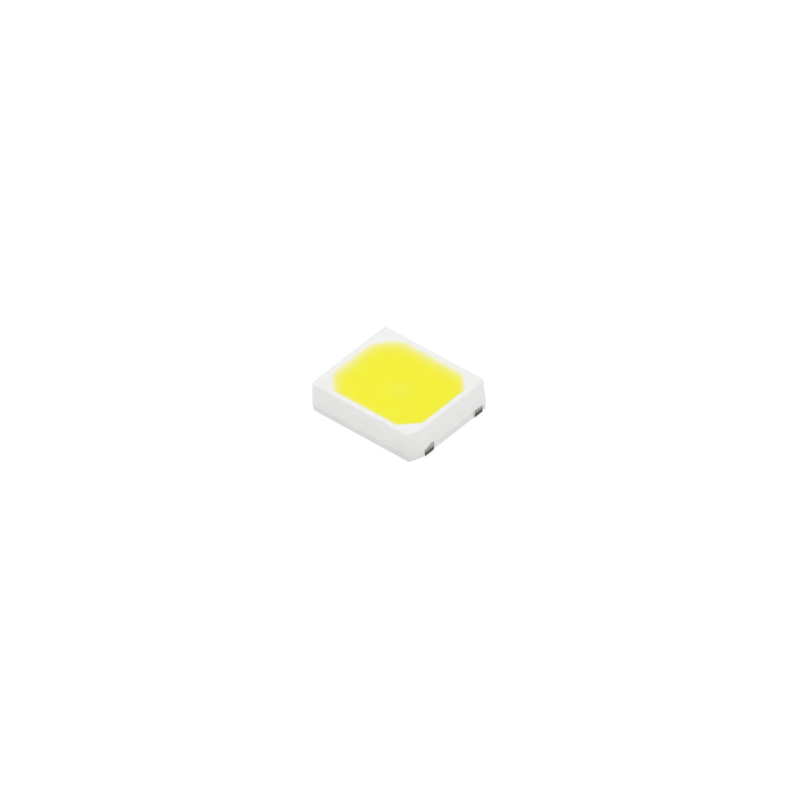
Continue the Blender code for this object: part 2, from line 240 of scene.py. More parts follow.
def smear_rings(outer, inwards, height, peak, width, overhang):
    """A smear of alloy that the shear drew up over the moulding, at the inner side of a tab: a thin
    plate whose top rises by a bell curve of the share of the way across the tab. It runs from near
    the outer side to a little past the inner one, or just short of it, and tapers down there."""
    across = np.linspace(SMEAR_ROOT, TAB_WIDTH + overhang, 33)
    rise = height * np.exp(-((across / TAB_WIDTH - peak) / width) ** 2)
    seat = LEAD_TOP - 2 * TOP_BREAK
    inner = TAB_WIDTH - SMEAR_ROOT
    foot = [(across[-1], SMEAR_SIDE), (inner, SMEAR_FOOT), (inner, seat), (SMEAR_ROOT, seat)]
    outline = np.concatenate([np.stack([across, LEAD_TOP + rise], axis=1), foot])
    front = TAB_END - SMEAR_BACK
    return np.array([
        np.column_stack([np.full(len(outline), x), outer + inwards * outline[:, 0], outline[:, 1]])
        for x in (front - SMEAR_THICKNESS, front)
    ])


def combine(target, other, operation):
    """Unites a closed piece with another, or cuts the other out of it, and removes the other."""
    change = target.modifiers.new("combine", "BOOLEAN")
    change.operation = operation
    change.solver = "MANIFOLD"
    change.object = other
    graph = bpy.context.evaluated_depsgraph_get()
    combined = bpy.data.meshes.new_from_object(target.evaluated_get(graph))
    target.modifiers.clear()
    target.data = combined
    bpy.data.objects.remove(other)


def put_on(piece, cad_name, look):
    """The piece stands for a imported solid, and takes its body and its material."""
    piece.data.materials.clear()
    piece.data.materials.append(look)
    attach(piece, "root")
    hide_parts(cad_name)


def add(tree, kind, inputs=(), **settings):
    """A new node with its settings. Inputs are (socket, value) pairs; a value may be an output."""
    made = tree.nodes.new(kind)
    for name, value in settings.items():
        setattr(made, name, value)
    for socket, value in inputs:
        if isinstance(value, bpy.types.NodeSocket):
            tree.links.new(value, made.inputs[socket])
        else:
            made.inputs[socket].default_value = value
    return made


def reckon(tree, operation, *values):
    """The output of a Math node."""
    return add(tree, "ShaderNodeMath", enumerate(values), operation=operation).outputs[0]


def ramp(tree, value, low, high, to_low=0.0, to_high=1.0):
    """A value carried smoothly from one range to another, and held at its ends."""
    inputs = [(0, value), (1, low), (2, high), (3, to_low), (4, to_high)]
    return add(tree, "ShaderNodeMapRange", inputs, interpolation_type="SMOOTHSTEP").outputs[0]


def mixed(tree, share, first, second):
    """Two colours mixed by a share of the second."""
    return add(tree, "ShaderNodeMix", [(0, share), (6, first), (7, second)], data_type="RGBA").outputs[2]


def bumped(tree, height, distance):
    """The normal of a surface that stands up by the distance where the height is 1."""
    return add(tree, "ShaderNodeBump", [("Height", height), ("Distance", distance)]).outputs[0]


def times(tree, vector, factor):
    """A vector multiplied by another, axis by axis."""
    return add(tree, "ShaderNodeVectorMath", [(0, vector), (1, factor)], operation="MULTIPLY").outputs[0]


def speckle_group():
    """A cloudy mask: fractal noise of a scale per millimetre along each axis, with the range from
    low to high stretched over 0 to 1."""
    group = bpy.data.node_groups.new("speckle", "ShaderNodeTree")
    group.interface.new_socket("Scale", in_out="INPUT", socket_type="NodeSocketVector")
    for name in ("Detail", "Low", "High"):
        group.interface.new_socket(name, in_out="INPUT", socket_type="NodeSocketFloat")
    group.interface.new_socket("Mask", in_out="OUTPUT", socket_type="NodeSocketFloat")
    given = group.nodes.new("NodeGroupInput").outputs
    place = add(group, "ShaderNodeTexCoord").outputs["Object"]
    scaled = times(group, times(group, place, (PER_MM,) * 3), given["Scale"])
    inputs = [("Vector", scaled), ("Scale", 1.0), ("Detail", given["Detail"])]
    noise = add(group, "ShaderNodeTexNoise", inputs)
    mask = ramp(group, noise.outputs[0], given["Low"], given["High"])
    add(group, "NodeGroupOutput", [("Mask", mask)])
    return group


SPECKLE = speckle_group()


def speckle(tree, scale, detail=2.0, low=0.35, high=0.65):
    """The mask of the speckle group, with a scale per millimetre for all axes or for each."""
    along = (scale,) * 3 if isinstance(scale, (int, float)) else scale
    inputs = [("Scale", along), ("Detail", detail), ("Low", low), ("High", high)]
    return add(tree, "ShaderNodeGroup", inputs, node_tree=SPECKLE).outputs["Mask"]


def place_in_mm(tree):
    """The X, Y and Z of a point of the piece, in millimetres."""
    place = add(tree, "ShaderNodeTexCoord").outputs["Object"]
    return add(tree, "ShaderNodeSeparateXYZ", [(0, times(tree, place, (PER_MM,) * 3))]).outputs


def new_material(name, roughness, metallic=0.0, ior=1.5):
    """A material with its uniform values set on the shader itself."""
    made = bpy.data.materials.new(name)
    made.use_nodes = True
    shader = made.node_tree.nodes["Principled BSDF"]
    shader.inputs["Roughness"].default_value = roughness
    shader.inputs["Metallic"].default_value = metallic
    shader.inputs["IOR"].default_value = ior
    return made, made.node_tree, shader


def silver_plate():
    """Satin silver with rolling lines along the strip and a breath of tarnish. Past the shear line
    it gives way to the cut, with ragged borders: dark torn alloy at the foot, then sheared, then
    burnished, then the pale alloy drawn up in a smear. A film of moulding flash hides the inner side
    of the tabs on the +Y side."""
    made, tree, shader = new_material("silver_plate", roughness=0.3, metallic=1.0)
    x, y, z = place_in_mm(tree)
    rolled = speckle(tree, (4.0, 160.0, 4.0), detail=3.0, low=0.3, high=0.7)
    tarnish = speckle(tree, 5.0, detail=4.0, low=0.5, high=0.8)
    torn = speckle(tree, (60.0, 45.0, 30.0), detail=4.0, low=0.3, high=0.7)
    streaks = speckle(tree, (10.0, 60.0, 3.0))
    plate = mixed(tree, rolled, *ROLLED_SILVER)
    plate = mixed(tree, reckon(tree, "MULTIPLY", tarnish, TARNISH_SHARE), plate, TARNISH)
    height = reckon(tree, "MULTIPLY_ADD", torn, CUT_RAGGED, z)
    cut = mixed(tree, ramp(tree, height, *TORN_TO_SHEARED), mixed(tree, torn, *TORN_ALLOY),
                mixed(tree, torn, *SHEARED_ALLOY))
    cut = mixed(tree, ramp(tree, height, *SHEARED_TO_BURNISHED), cut, mixed(tree, streaks, *BURNISHED_ALLOY))
    cut = mixed(tree, ramp(tree, height, *BURNISHED_TO_DRAWN), cut, DRAWN_ALLOY)
    ragged = reckon(tree, "MULTIPLY_ADD", torn, FLASH_RAGGED, y)
    covered = ramp(tree, ragged, FLASH_EDGE, FLASH_EDGE + FLASH_SOFT, 1.0, 0.0)
    flash = reckon(tree, "MULTIPLY", covered, ramp(tree, y, *FAR_HALF))
    cut = mixed(tree, flash, cut, FLASH_WHITE)
    sheared = ramp(tree, reckon(tree, "ABSOLUTE", x), CUT_STARTS, CUT_FULL)
    tree.links.new(mixed(tree, sheared, plate, cut), shader.inputs["Base Color"])
    roughness = ramp(tree, rolled, 0.0, 1.0, to_low=0.24, to_high=0.36)
    rough_cut = ramp(tree, height, 0.145, 0.165, to_low=0.62, to_high=0.38)
    both = add(tree, "ShaderNodeMix", [(0, sheared), (2, roughness), (3, rough_cut)], data_type="FLOAT")
    tree.links.new(both.outputs[0], shader.inputs["Roughness"])
    relief = reckon(tree, "ADD", rolled, torn)
    tree.links.new(bumped(tree, relief, distance=0.35 * UM), shader.inputs["Normal"])
    return made


SILVER = silver_plate()
for seed, (cad_name, lead) in enumerate(LEADS.items()):
    rings = lead_rings(lead["ledge"], lead["marked"], seed)
    plated = skin("plated_" + cad_name, rings * (lead["side"], 1, 1))
    if lead["marked"]:
        for smear in SMEARS:
            combine(plated, skin("smear", smear_rings(**smear)), "UNION")
    soften(plated, sharp_degrees=40)
    put_on(plated, cad_name, SILVER)


# Housing
# The reflector body: white polyester filled with titanium dioxide and short glass fibre, injected
# through a gate under the bar between the pads. The mould closes level with the top of the leads,
# so the walls draft both ways from there, and its spark-eroded faces leave a fine matt grain.
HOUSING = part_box("housing")
BODY_TOP = HOUSING[1].z
BODY_FOOT = HOUSING[0].z
BODY_X = HOUSING[1].x
BODY_Y = HOUSING[1].y
CORNER_RADIUS = 100 * UM
END_DRAFT = 50 * UM
SIDE_DRAFT = 5 * UM
BASE_DRAFT = 20 * UM
TOP_EDGE_RADIUS = 60 * UM
FOOT_EDGE_RADIUS = 6 * UM
MARK_ALONG_X = 155 * UM
MARK_ALONG_Y = 380 * UM
MARK_RADIUS = 40 * UM
PARTING_STEP = 3 * UM
PARTING_HALF = 7 * UM
RIM = 110 * UM
CUP_X = BODY_X - END_DRAFT - RIM
CUP_Y = BODY_Y - SIDE_DRAFT - RIM
CUP_CORNER_CUT = 480 * UM
CUP_RADIUS = 170 * UM
CUP_WALL_SLOPE = 300 * UM
MOUTH_RADIUS = 20 * UM
GATE_X = (ANODE[1].x + CATHODE[0].x) / 2
GATE_RADIUS = 120 * UM
GATE_DEPTH = 40 * UM
GATE_STUB = 24 * UM
GATE_STUB_RADIUS = 45 * UM
GATE_STUB_CORE = 0.03
GATE_STUB_SIDE = 0.25
GATE_STUB_RAGGED = 0.15
MOULDING_WHITE = ((0.825, 0.825, 0.812, 1), (0.85, 0.85, 0.842, 1))
FIBRE_WHITE = (0.80, 0.80, 0.785, 1)
FIBRE_SHARE = 0.3
# Painted shade: the walls turn towards this dull white from the upper height down to the lower, in mm. The
# same white also colours a darker patch at the foot of the cut corner.
DULL_WHITE = (0.66, 0.66, 0.65, 1)
WALL_SHADE_BELOW = (0.1, 0.7)
WALL_SHADE_SHARE = 0.08
# Painted shade in a mottled band just above the foot, deepest at the foot.
FOOT_SHADE_WHITE = (0.68, 0.68, 0.655, 1)
FOOT_SHADE_BELOW = (0.02, 0.13)
FOOT_SHADE_SHARE = (0.35, 0.05)
# A darker patch at the foot of the cut corner, in mm round this point.
MARK_DARK_PATCH = (1.35, -1.40, 0.22)
MARK_DARK_PATCH_REACH = (0.0, 0.6)
MARK_DARK_PATCH_SHARE = 0.42


def rounded(corners, steps):
    """A counter-clockwise outline whose corners (x, y, radius) are turned into arcs: the centre lies
    on the bisector, radius / sine of half the angle away, and the arc is swept in equal turns."""
    corners = np.array(corners)
    here, radius = corners[:, :2], corners[:, 2:]
    back = np.roll(here, 1, axis=0) - here
    ahead = np.roll(here, -1, axis=0) - here
    back = back / np.linalg.norm(back, axis=1, keepdims=True)
    ahead = ahead / np.linalg.norm(ahead, axis=1, keepdims=True)
    half = np.arccos((back * ahead).sum(axis=1, keepdims=True)) / 2
    bisector = (back + ahead) / np.linalg.norm(back + ahead, axis=1, keepdims=True)
    centre = here + bisector * radius / np.sin(half)
    first = here + back * radius / np.tan(half) - centre
    turn = np.linspace(0, 1, steps)[None] * (math.pi - 2 * half)
    x = centre[:, :1] + first[:, :1] * np.cos(turn) - first[:, 1:] * np.sin(turn)
    y = centre[:, 1:] + first[:, :1] * np.sin(turn) + first[:, 1:] * np.cos(turn)
    return np.stack([x, y], axis=2).reshape(-1, 2)


def body_ring(height, inset_x, inset_y):
    """The body at a height: a round-cornered rectangle with the cathode mark cut from one corner."""
    x, y = BODY_X - inset_x, BODY_Y - inset_y
    return level(rounded([
        (x, -y + MARK_ALONG_Y, MARK_RADIUS),
        (x, y, CORNER_RADIUS),
        (-x, y, CORNER_RADIUS),
        (-x, -y, CORNER_RADIUS),
        (x - MARK_ALONG_X, -y, MARK_RADIUS),
    ], steps=17), height)


def body_rings():
    """Rings from the foot up: a tight round, the base draft, the raised witness of the parting line,
    the walls with more draft at the ends than along the sides, and the quarter round of the rim."""
    rings = []
    for turn in np.radians(np.linspace(0, 90, 4)):
        inset = BASE_DRAFT + FOOT_EDGE_RADIUS * (1 - np.sin(turn))
        rings.append(body_ring(BODY_FOOT + FOOT_EDGE_RADIUS * (1 - np.cos(turn)), inset, inset))
    for up, inset in ((-1.0, PARTING_STEP), (-0.4, 0.0), (0.4, 0.0), (1.0, PARTING_STEP)):
        rings.append(body_ring(LEAD_TOP + PARTING_HALF * up, inset, inset))
    for turn in np.radians(np.linspace(0, 90, 9)):
        aside = TOP_EDGE_RADIUS * (1 - np.cos(turn))
        height = BODY_TOP - TOP_EDGE_RADIUS * (1 - np.sin(turn))
        rings.append(body_ring(height, END_DRAFT + aside, SIDE_DRAFT + aside))
    return np.array(rings)


def cup_ring(height, inset):
    """The cup's octagon at a height, moved in from its mouth by one distance on every side."""
    x, y = CUP_X - inset, CUP_Y - inset
    cut = CUP_CORNER_CUT - inset * (2 - math.sqrt(2))
    octagon = [(x, -y + cut), (x, y - cut), (x - cut, y), (-x + cut, y),
               (-x, y - cut), (-x, -y + cut), (-x + cut, -y), (x - cut, -y)]
    return level(rounded([(a, b, CUP_RADIUS) for a, b in octagon], steps=9), height)


def wall_inset(height):
    """How far the sloping cup wall stands in from the mouth at a height."""
    return CUP_WALL_SLOPE * (BODY_TOP - height) / (BODY_TOP - LEAD_TOP)


def cup_rings():
    """Rings of the mould core: it stands on the leads, slopes up, and flares round the mouth's edge."""
    start = BODY_TOP - MOUTH_RADIUS
    rings = [cup_ring(LEAD_TOP, CUP_WALL_SLOPE)]
    for turn in np.radians(np.linspace(0, 90, 9)):
        aside = MOUTH_RADIUS * (1 - np.cos(turn))
        rings.append(cup_ring(start + MOUTH_RADIUS * np.sin(turn), wall_inset(start) - aside))
    rings.append(cup_ring(BODY_TOP + MOUTH_RADIUS, wall_inset(start) - MOUTH_RADIUS))
    return np.array(rings)


def gate_rings():
    """Rings of the space under the gate: a round recess whose roof bears a torn stub. It hangs down
    by a bell curve of the radius, a little more on one side, and unevenly round its edge."""
    turn = np.linspace(0, math.tau, 48, endpoint=False)
    inwards = GATE_RADIUS * np.linspace(1, GATE_STUB_CORE, 22)
    radius = np.concatenate([[GATE_RADIUS], inwards])[:, None]
    bell = np.exp(-(radius / GATE_STUB_RADIUS) ** 4)
    ragged = GATE_STUB_RAGGED * np.cos(3 * turn + 1) * radius / GATE_STUB_RADIUS
    torn = 1 + GATE_STUB_SIDE * np.cos(turn) + ragged
    height = BODY_FOOT + GATE_DEPTH - GATE_STUB * bell * torn
    height[0] = -GATE_DEPTH
    x = GATE_X + radius * np.cos(turn)
    y = radius * np.sin(turn)
    return np.stack([x, y, height], axis=2)


def nearness(tree, centre, inner, outer):
    """1 up to an inner distance from a point, in millimetres, falling smoothly to 0 at an outer one."""
    place = times(tree, add(tree, "ShaderNodeTexCoord").outputs["Object"], (PER_MM,) * 3)
    away = add(tree, "ShaderNodeVectorMath", [(0, place), (1, centre)], operation="DISTANCE")
    return ramp(tree, away.outputs["Value"], inner, outer, 1.0, 0.0)


def white_moulding():
    """Matt white with a faint cloud of glass fibre and flow. Painted shade darkens it a little towards
    the foot, and more in a mottled band just above the foot; a patch at the foot of the cut corner is
    darker too. A fine spark-eroded grain lies over all of it."""
    made, tree, shader = new_material("white_moulding", roughness=0.55)
    z = place_in_mm(tree)["Z"]
    cloud = speckle(tree, (3.0, 3.0, 5.0), detail=4.0, low=0.3, high=0.7)
    fibre = speckle(tree, (14.0, 45.0, 45.0), detail=2.0, low=0.55, high=0.75)
    white = mixed(tree, cloud, *MOULDING_WHITE)
    # Painted shade: darker towards the foot of the walls.
    lower = reckon(tree, "MULTIPLY", ramp(tree, z, *WALL_SHADE_BELOW, 1.0, 0.0), WALL_SHADE_SHARE)
    white = mixed(tree, lower, white, DULL_WHITE)
    white = mixed(tree, reckon(tree, "MULTIPLY", fibre, FIBRE_SHARE), white, FIBRE_WHITE)
    # Painted shade in a mottled band just above the foot.
    foot_mottle = speckle(tree, (7.0, 7.0, 14.0), detail=4.0, low=0.42, high=0.72)
    foot_mottle = reckon(tree, "MULTIPLY_ADD", foot_mottle, *FOOT_SHADE_SHARE)
    foot_shade = reckon(tree, "MULTIPLY", ramp(tree, z, *FOOT_SHADE_BELOW, 1.0, 0.0), foot_mottle)
    white = mixed(tree, foot_shade, white, FOOT_SHADE_WHITE)
    # A darker patch at the foot of the cut corner.
    near_patch = nearness(tree, MARK_DARK_PATCH, *MARK_DARK_PATCH_REACH)
    white = mixed(tree, reckon(tree, "MULTIPLY", near_patch, MARK_DARK_PATCH_SHARE), white, DULL_WHITE)
    tree.links.new(white, shader.inputs["Base Color"])
    grain = speckle(tree, 42.0, detail=3.0, low=0.25, high=0.75)
    tree.links.new(ramp(tree, grain, 0.0, 1.0, to_low=0.5, to_high=0.64), shader.inputs["Roughness"])
    tree.links.new(bumped(tree, grain, distance=0.9 * UM), shader.inputs["Normal"])
    return made


reflector = skin("moulded_housing", body_rings())
combine(reflector, skin("cup_core", cup_rings()), "DIFFERENCE")
for lead in LEADS.values():
    pocket = pocket_rings(lead["ledge"], lead["marked"]) * (lead["side"], 1, 1)
    combine(reflector, skin("pocket", pocket), "DIFFERENCE")
combine(reflector, skin("gate", gate_rings()), "DIFFERENCE")
soften(reflector, sharp_degrees=35)
put_on(reflector, "housing", white_moulding())


# Die attach
# A thin bed of clear silicone adhesive, dabbed on the cathode lead before the chip is set in it.
# Setting the chip squeezes a narrow foot of it out on all sides.
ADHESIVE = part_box("die_attach")
ADHESIVE_FOOT = 30 * UM
ADHESIVE_LIP = 20 * UM
CURED_SILICONE = ((0.74, 0.72, 0.64, 1), (0.84, 0.83, 0.77, 1))


def block_ring(half_x, half_y, radius, height):
    """A round-cornered rectangle at a height, centred on the chip."""
    corners = [(half_x, -half_y), (half_x, half_y), (-half_x, half_y), (-half_x, -half_y)]
    return level(rounded([(x, y, radius) for x, y in corners], steps=9), height)


def adhesive_rings():
    """Rings of the bed: its side curves in from the foot to the lip as a quarter ellipse."""
    turn = np.radians(np.linspace(0, 90, 7))
    aside = ADHESIVE_LIP * (1 - np.cos(turn))
    height = ADHESIVE[0].z + (ADHESIVE[1].z - ADHESIVE[0].z) * np.sin(turn)
    return np.array([block_ring(ADHESIVE[1].x - a, ADHESIVE[1].y - a, ADHESIVE_FOOT, z)
                     for a, z in zip(aside, height)])


def clear_adhesive():
    """Water-clear silicone over silver: pale, yellowed a little in clouds, and glossy."""
    made, tree, shader = new_material("clear_adhesive", roughness=0.2, ior=1.41)
    cloud = speckle(tree, 12.0, detail=3.0)
    tree.links.new(mixed(tree, cloud, *CURED_SILICONE), shader.inputs["Base Color"])
    tree.links.new(ramp(tree, cloud, 0.0, 1.0, to_low=0.16, to_high=0.28), shader.inputs["Roughness"])
    tree.links.new(bumped(tree, speckle(tree, 30.0), distance=0.3 * UM), shader.inputs["Normal"])
    return made


bed = skin("adhesive_bed", adhesive_rings())
soften(bed, sharp_degrees=40)
put_on(bed, "die_attach", clear_adhesive())


# Chip
# A blue gallium nitride die on 0.12 mm sapphire, lapped and laser-scribed from its wafer. The mesa on
# its top is etched back from the scribe lane, and a gold electrode near each end takes a bond ball.
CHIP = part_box("led_chip")
CHIP_X = CHIP[1].x
CHIP_Y = CHIP[1].y
ELECTRODE_HEIGHT = 5 * UM
CHIP_TOP = CHIP[1].z - ELECTRODE_HEIGHT
ELECTRODE_ROOT = CHIP_TOP - 10 * UM
ELECTRODE_RADIUS = 45 * UM
ELECTRODE_Y = CHIP_Y - 115 * UM
MESA_HEIGHT = 2.5 * UM
MESA_INSET = 14 * UM
SCRIBE_RADIUS = 2 * UM
SCRIBED_SAPPHIRE = ((0.30, 0.38, 0.50, 1), (0.50, 0.58, 0.70, 1))
MESA_VIOLET = ((0.34, 0.36, 0.58, 1), (0.42, 0.46, 0.68, 1))
ELECTRODE_GOLD = (0.88, 0.62, 0.24, 1)
FINGER_HALF = (0.004, 0.006)


def chip_rings():
    """Rings of the die: straight scribed walls, the lane round the top, and the mesa's low step."""
    lane = CHIP_TOP - MESA_HEIGHT
    low = [block_ring(CHIP_X, CHIP_Y, SCRIBE_RADIUS, z) for z in (CHIP[0].z, lane)]
    high = [block_ring(CHIP_X - MESA_INSET - a, CHIP_Y - MESA_INSET - a, 4 * SCRIBE_RADIUS, z)
            for a, z in ((0, lane), (MESA_HEIGHT, CHIP_TOP))]
    return np.array(low + high)


def post_rings(x, y, radius, low, high):
    """Rings of an upright round post."""
    circle = arc(x, y, radius, 0, 360, 49)[:-1]
    return np.array([level(circle, low), level(circle, high)])


def sapphire():
    """Blue-grey sapphire with scribe marks down its sides, a violet mesa, and gold electrodes with a
    current finger along the middle."""
    made, tree, shader = new_material("sapphire", roughness=0.12, ior=1.77)
    x, y, z = place_in_mm(tree)
    height = reckon(tree, "SUBTRACT", z, CHIP_TOP * PER_MM)
    past = reckon(tree, "SUBTRACT", reckon(tree, "ABSOLUTE", y), ELECTRODE_Y * PER_MM)
    scribe = speckle(tree, (90.0, 90.0, 6.0), detail=3.0)
    side = mixed(tree, scribe, *SCRIBED_SAPPHIRE)
    mesa = mixed(tree, speckle(tree, 8.0), *MESA_VIOLET)
    finger = ramp(tree, reckon(tree, "ABSOLUTE", x), *FINGER_HALF, 1.0, 0.0)
    finger = reckon(tree, "MULTIPLY", finger, ramp(tree, past, 0.0, 0.002, 1.0, 0.0))
    top = ramp(tree, height, -0.001, -0.0005)
    gold = reckon(tree, "MAXIMUM", finger, ramp(tree, height, 0.0005, 0.001))
    colour = mixed(tree, top, side, mixed(tree, gold, mesa, ELECTRODE_GOLD))
    tree.links.new(colour, shader.inputs["Base Color"])
    tree.links.new(reckon(tree, "MULTIPLY", top, gold), shader.inputs["Metallic"])
    tree.links.new(ramp(tree, scribe, 0.0, 1.0, to_low=0.08, to_high=0.22), shader.inputs["Roughness"])
    tree.links.new(bumped(tree, scribe, distance=0.4 * UM), shader.inputs["Normal"])
    return made


die = skin("gan_chip", chip_rings())
for electrode_y in (ELECTRODE_Y, -ELECTRODE_Y):
    post = post_rings(0.0, electrode_y, ELECTRODE_RADIUS, ELECTRODE_ROOT, CHIP[1].z)
    combine(die, skin("electrode", post), "UNION")
soften(die, sharp_degrees=30)
put_on(die, "led_chip", sapphire())


# Bond wires
# Gold wire, 25 micron thick, ball-bonded to the electrodes: a flame melts the ball, the capillary
# presses it flat, draws the wire up and over in one loop, and stitches it flat on the lead.
WIRE_RADIUS = 12.5 * UM
BALL_RADIUS = 36 * UM
BALL_HEIGHT = 22 * UM
BALL_SEAT = 0.72
BALL_NECK = 0.35
NECK_START = 0.8
LOOP_HEIGHT = 190 * UM
LOOP_PULL = 1.6
LOOP_SHOULDER = 0.45
STITCH_LENGTH = 70 * UM
STITCH_WIDTH = 55 * UM
STITCH_THICKNESS = 12 * UM
BALL_BASE = CHIP[1].z + GAP
STITCH_BASE = LEAD_TOP + GAP
CUP_FLOOR_X = CUP_X - CUP_WALL_SLOPE
DRAWN_GOLD = ((0.86, 0.60, 0.22, 1), (0.96, 0.72, 0.32, 1))
WIRES = {
    "cathode_bond_wire": ((0.0, -ELECTRODE_Y), ((ADHESIVE[1].x + CUP_FLOOR_X) / 2, -470 * UM)),
    "anode_bond_wire": ((0.0, ELECTRODE_Y), ((ANODE[1].x - CUP_FLOOR_X) / 2, 180 * UM)),
}


def wire_stations(reach):
    """Stations (forward, up, half width, half thickness, tilt) of one wire. The ball swells from its
    seat by half a sine wave and narrows evenly to its neck. The loop is a cubic Bezier curve that
    leaves the ball upright, and the stitch eases from the round wire to a flat paddle."""
    rise = np.linspace(0, 1, 9)
    bulge = np.sin(math.pi * np.clip(rise / NECK_START, 0, 1))
    narrowed = np.clip(rise - NECK_START, 0, 1) / (1 - NECK_START)
    swell = BALL_RADIUS * (BALL_SEAT + (1 - BALL_SEAT) * bulge - (BALL_SEAT - BALL_NECK) * narrowed)
    upright = np.full(len(rise), math.pi / 2)
    ball = np.stack([0 * rise, BALL_BASE + BALL_HEIGHT * rise, swell, swell, upright], axis=1)
    neck = BALL_BASE + BALL_HEIGHT
    landing = reach - STITCH_LENGTH
    points = np.array([
        (0, neck),
        (0, neck + LOOP_PULL * LOOP_HEIGHT),
        (LOOP_SHOULDER * landing, neck + LOOP_HEIGHT),
        (landing, STITCH_BASE + WIRE_RADIUS),
    ])
    t = np.linspace(0, 1, 57)[1:, None]
    s = 1 - t
    place = s**3 * points[0] + 3 * s * s * t * points[1] + 3 * s * t * t * points[2] + t**3 * points[3]
    legs = np.diff(points, axis=0)
    pull = s * s * legs[0] + 2 * s * t * legs[1] + t * t * legs[2]
    thin = np.full((len(t), 2), WIRE_RADIUS)
    loop = np.column_stack([place, thin, np.arctan2(pull[:, 1], pull[:, 0])])
    flat = STITCH_THICKNESS / 2
    press = np.linspace(0, 1, 9)[1:]
    ease = press * press * (3 - 2 * press)
    thick = WIRE_RADIUS + (flat - WIRE_RADIUS) * ease
    width = WIRE_RADIUS + (STITCH_WIDTH / 2 - WIRE_RADIUS) * ease
    along = landing + STITCH_LENGTH * press
    stitch = np.stack([along, STITCH_BASE + thick, width, thick, 0 * press], axis=1)
    return np.concatenate([ball, loop, stitch])


def wire_rings(start, foot, grow=0.0, sides=24):
    """Rings of a wire from an electrode to its foot: an ellipse round each station, across the run
    and square to its tilt. A grown wire is the tunnel that the fill leaves for it."""
    run = np.subtract(foot, start)
    reach = np.linalg.norm(run)
    ahead = np.array([*run / reach, 0.0])
    across = np.array([-ahead[1], ahead[0], 0.0])
    stations = wire_stations(reach)
    stations[0, 1] -= grow
    stations[-1, 0] += grow
    forward, up, width, thick, tilt = stations.T[:, :, None]
    centre = np.array([*start, 0.0]) + forward * ahead + up * np.array([0, 0, 1.0])
    lift = np.cos(tilt) * np.array([0, 0, 1.0]) - np.sin(tilt) * ahead
    turn = np.linspace(0, math.tau, sides, endpoint=False)[None, :, None]
    aside = (width + grow)[:, None] * np.cos(turn) * across
    return centre[:, None] + aside + (thick + grow)[:, None] * np.sin(turn) * lift[:, None]


def bond_gold():
    """Drawn gold: warm and bright, with a fine grain that is duller in places."""
    made, tree, shader = new_material("bond_gold", roughness=0.2, metallic=1.0)
    grain = speckle(tree, 55.0, detail=3.0)
    tree.links.new(mixed(tree, grain, *DRAWN_GOLD), shader.inputs["Base Color"])
    tree.links.new(ramp(tree, grain, 0.0, 1.0, to_low=0.14, to_high=0.3), shader.inputs["Roughness"])
    tree.links.new(bumped(tree, grain, distance=0.25 * UM), shader.inputs["Normal"])
    return made


GOLD = bond_gold()
for cad_name, (start, foot) in WIRES.items():
    wire = skin("gold_" + cad_name, wire_rings(start, foot))
    soften(wire, sharp_degrees=50)
    put_on(wire, cad_name, GOLD)


# Phosphor fill
# Silicone with yellow phosphor powder, dosed into the cup and cured. It wets the wall, so its surface
# climbs to the mouth in a narrow meniscus and lies a little dished between. The phosphor is opaque
# where the cup is deep, and lets the white wall through where the layer thins over its slope.
FILL_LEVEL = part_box("phosphor_fill")[1].z
FILL_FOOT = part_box("phosphor_fill")[0].z
FILL_DISH = 15 * UM
WETTED = 0.5 * UM
WETTED_TURN = 60
MENISCUS_REACH = 55 * UM
DENSE_SHARE = 0.88
CORE_SHARE = 0.015
HOLLOW_FOOT = FILL_FOOT - 10 * UM
FADES = {
    0: (0.0, 0.020), 45: (0.02, 0.055), 90: (0.02, 0.105), 135: (0.07, 0.12),
    180: (0.025, 0.115), 225: (0.02, 0.085), 270: (0.0, 0.040), 315: (0.0, 0.020),
}
FADE_ROUNDING = 2.25
FADE_WANDER = 0.16
PHOSPHOR_YELLOW = ((0.852, 0.838, 0.011, 1), (0.846, 0.856, 0.019, 1))
POWDER_ORANGE = (0.90, 0.78, 0.006, 1)
POWDER_SHARE = 0.6
WALL_WHITE = (0.845, 0.845, 0.845, 1)
CHIP_GLOW = (0.25, -0.19, 0.875)
CHIP_GLOW_REACH = (0.1, 0.55)
CHIP_GLOW_SHARE = 0.8
CHIP_GLOW_YELLOW = (0.845, 0.822, 0.040, 1)


def fill_rings():
    """Rings of the fill: up the sloping wall and most of the mouth's round, then in over the surface.
    There the height falls from the edge by an exponential meniscus, and by a shallow parabola of the
    share of the way left to the middle. The rings lie densest where the meniscus is."""
    start = BODY_TOP - MOUTH_RADIUS
    wall = [cup_ring(z, wall_inset(z) - WETTED) for z in np.linspace(FILL_FOOT, start, 9)]
    for turn in np.radians(np.linspace(0, WETTED_TURN, 5)[1:]):
        aside = MOUTH_RADIUS * (1 - np.cos(turn)) + WETTED
        wall.append(cup_ring(start + MOUTH_RADIUS * np.sin(turn), wall_inset(start) - aside))
    wall = np.array(wall)
    edge = wall[-1, 0, 2]
    dense = np.linspace(1, DENSE_SHARE, 13)[1:]
    share = np.concatenate([dense, np.linspace(DENSE_SHARE, CORE_SHARE, 30)[1:]])[:, None]
    top = np.repeat(wall[-1:], len(share), axis=0)
    top[:, :, :2] *= share[:, :, None]
    climb = (edge - FILL_LEVEL) * np.exp(-(1 - share) * CUP_Y / MENISCUS_REACH)
    top[:, :, 2] = FILL_LEVEL + climb - FILL_DISH * (1 - share ** 2)
    return np.concatenate([wall, top])


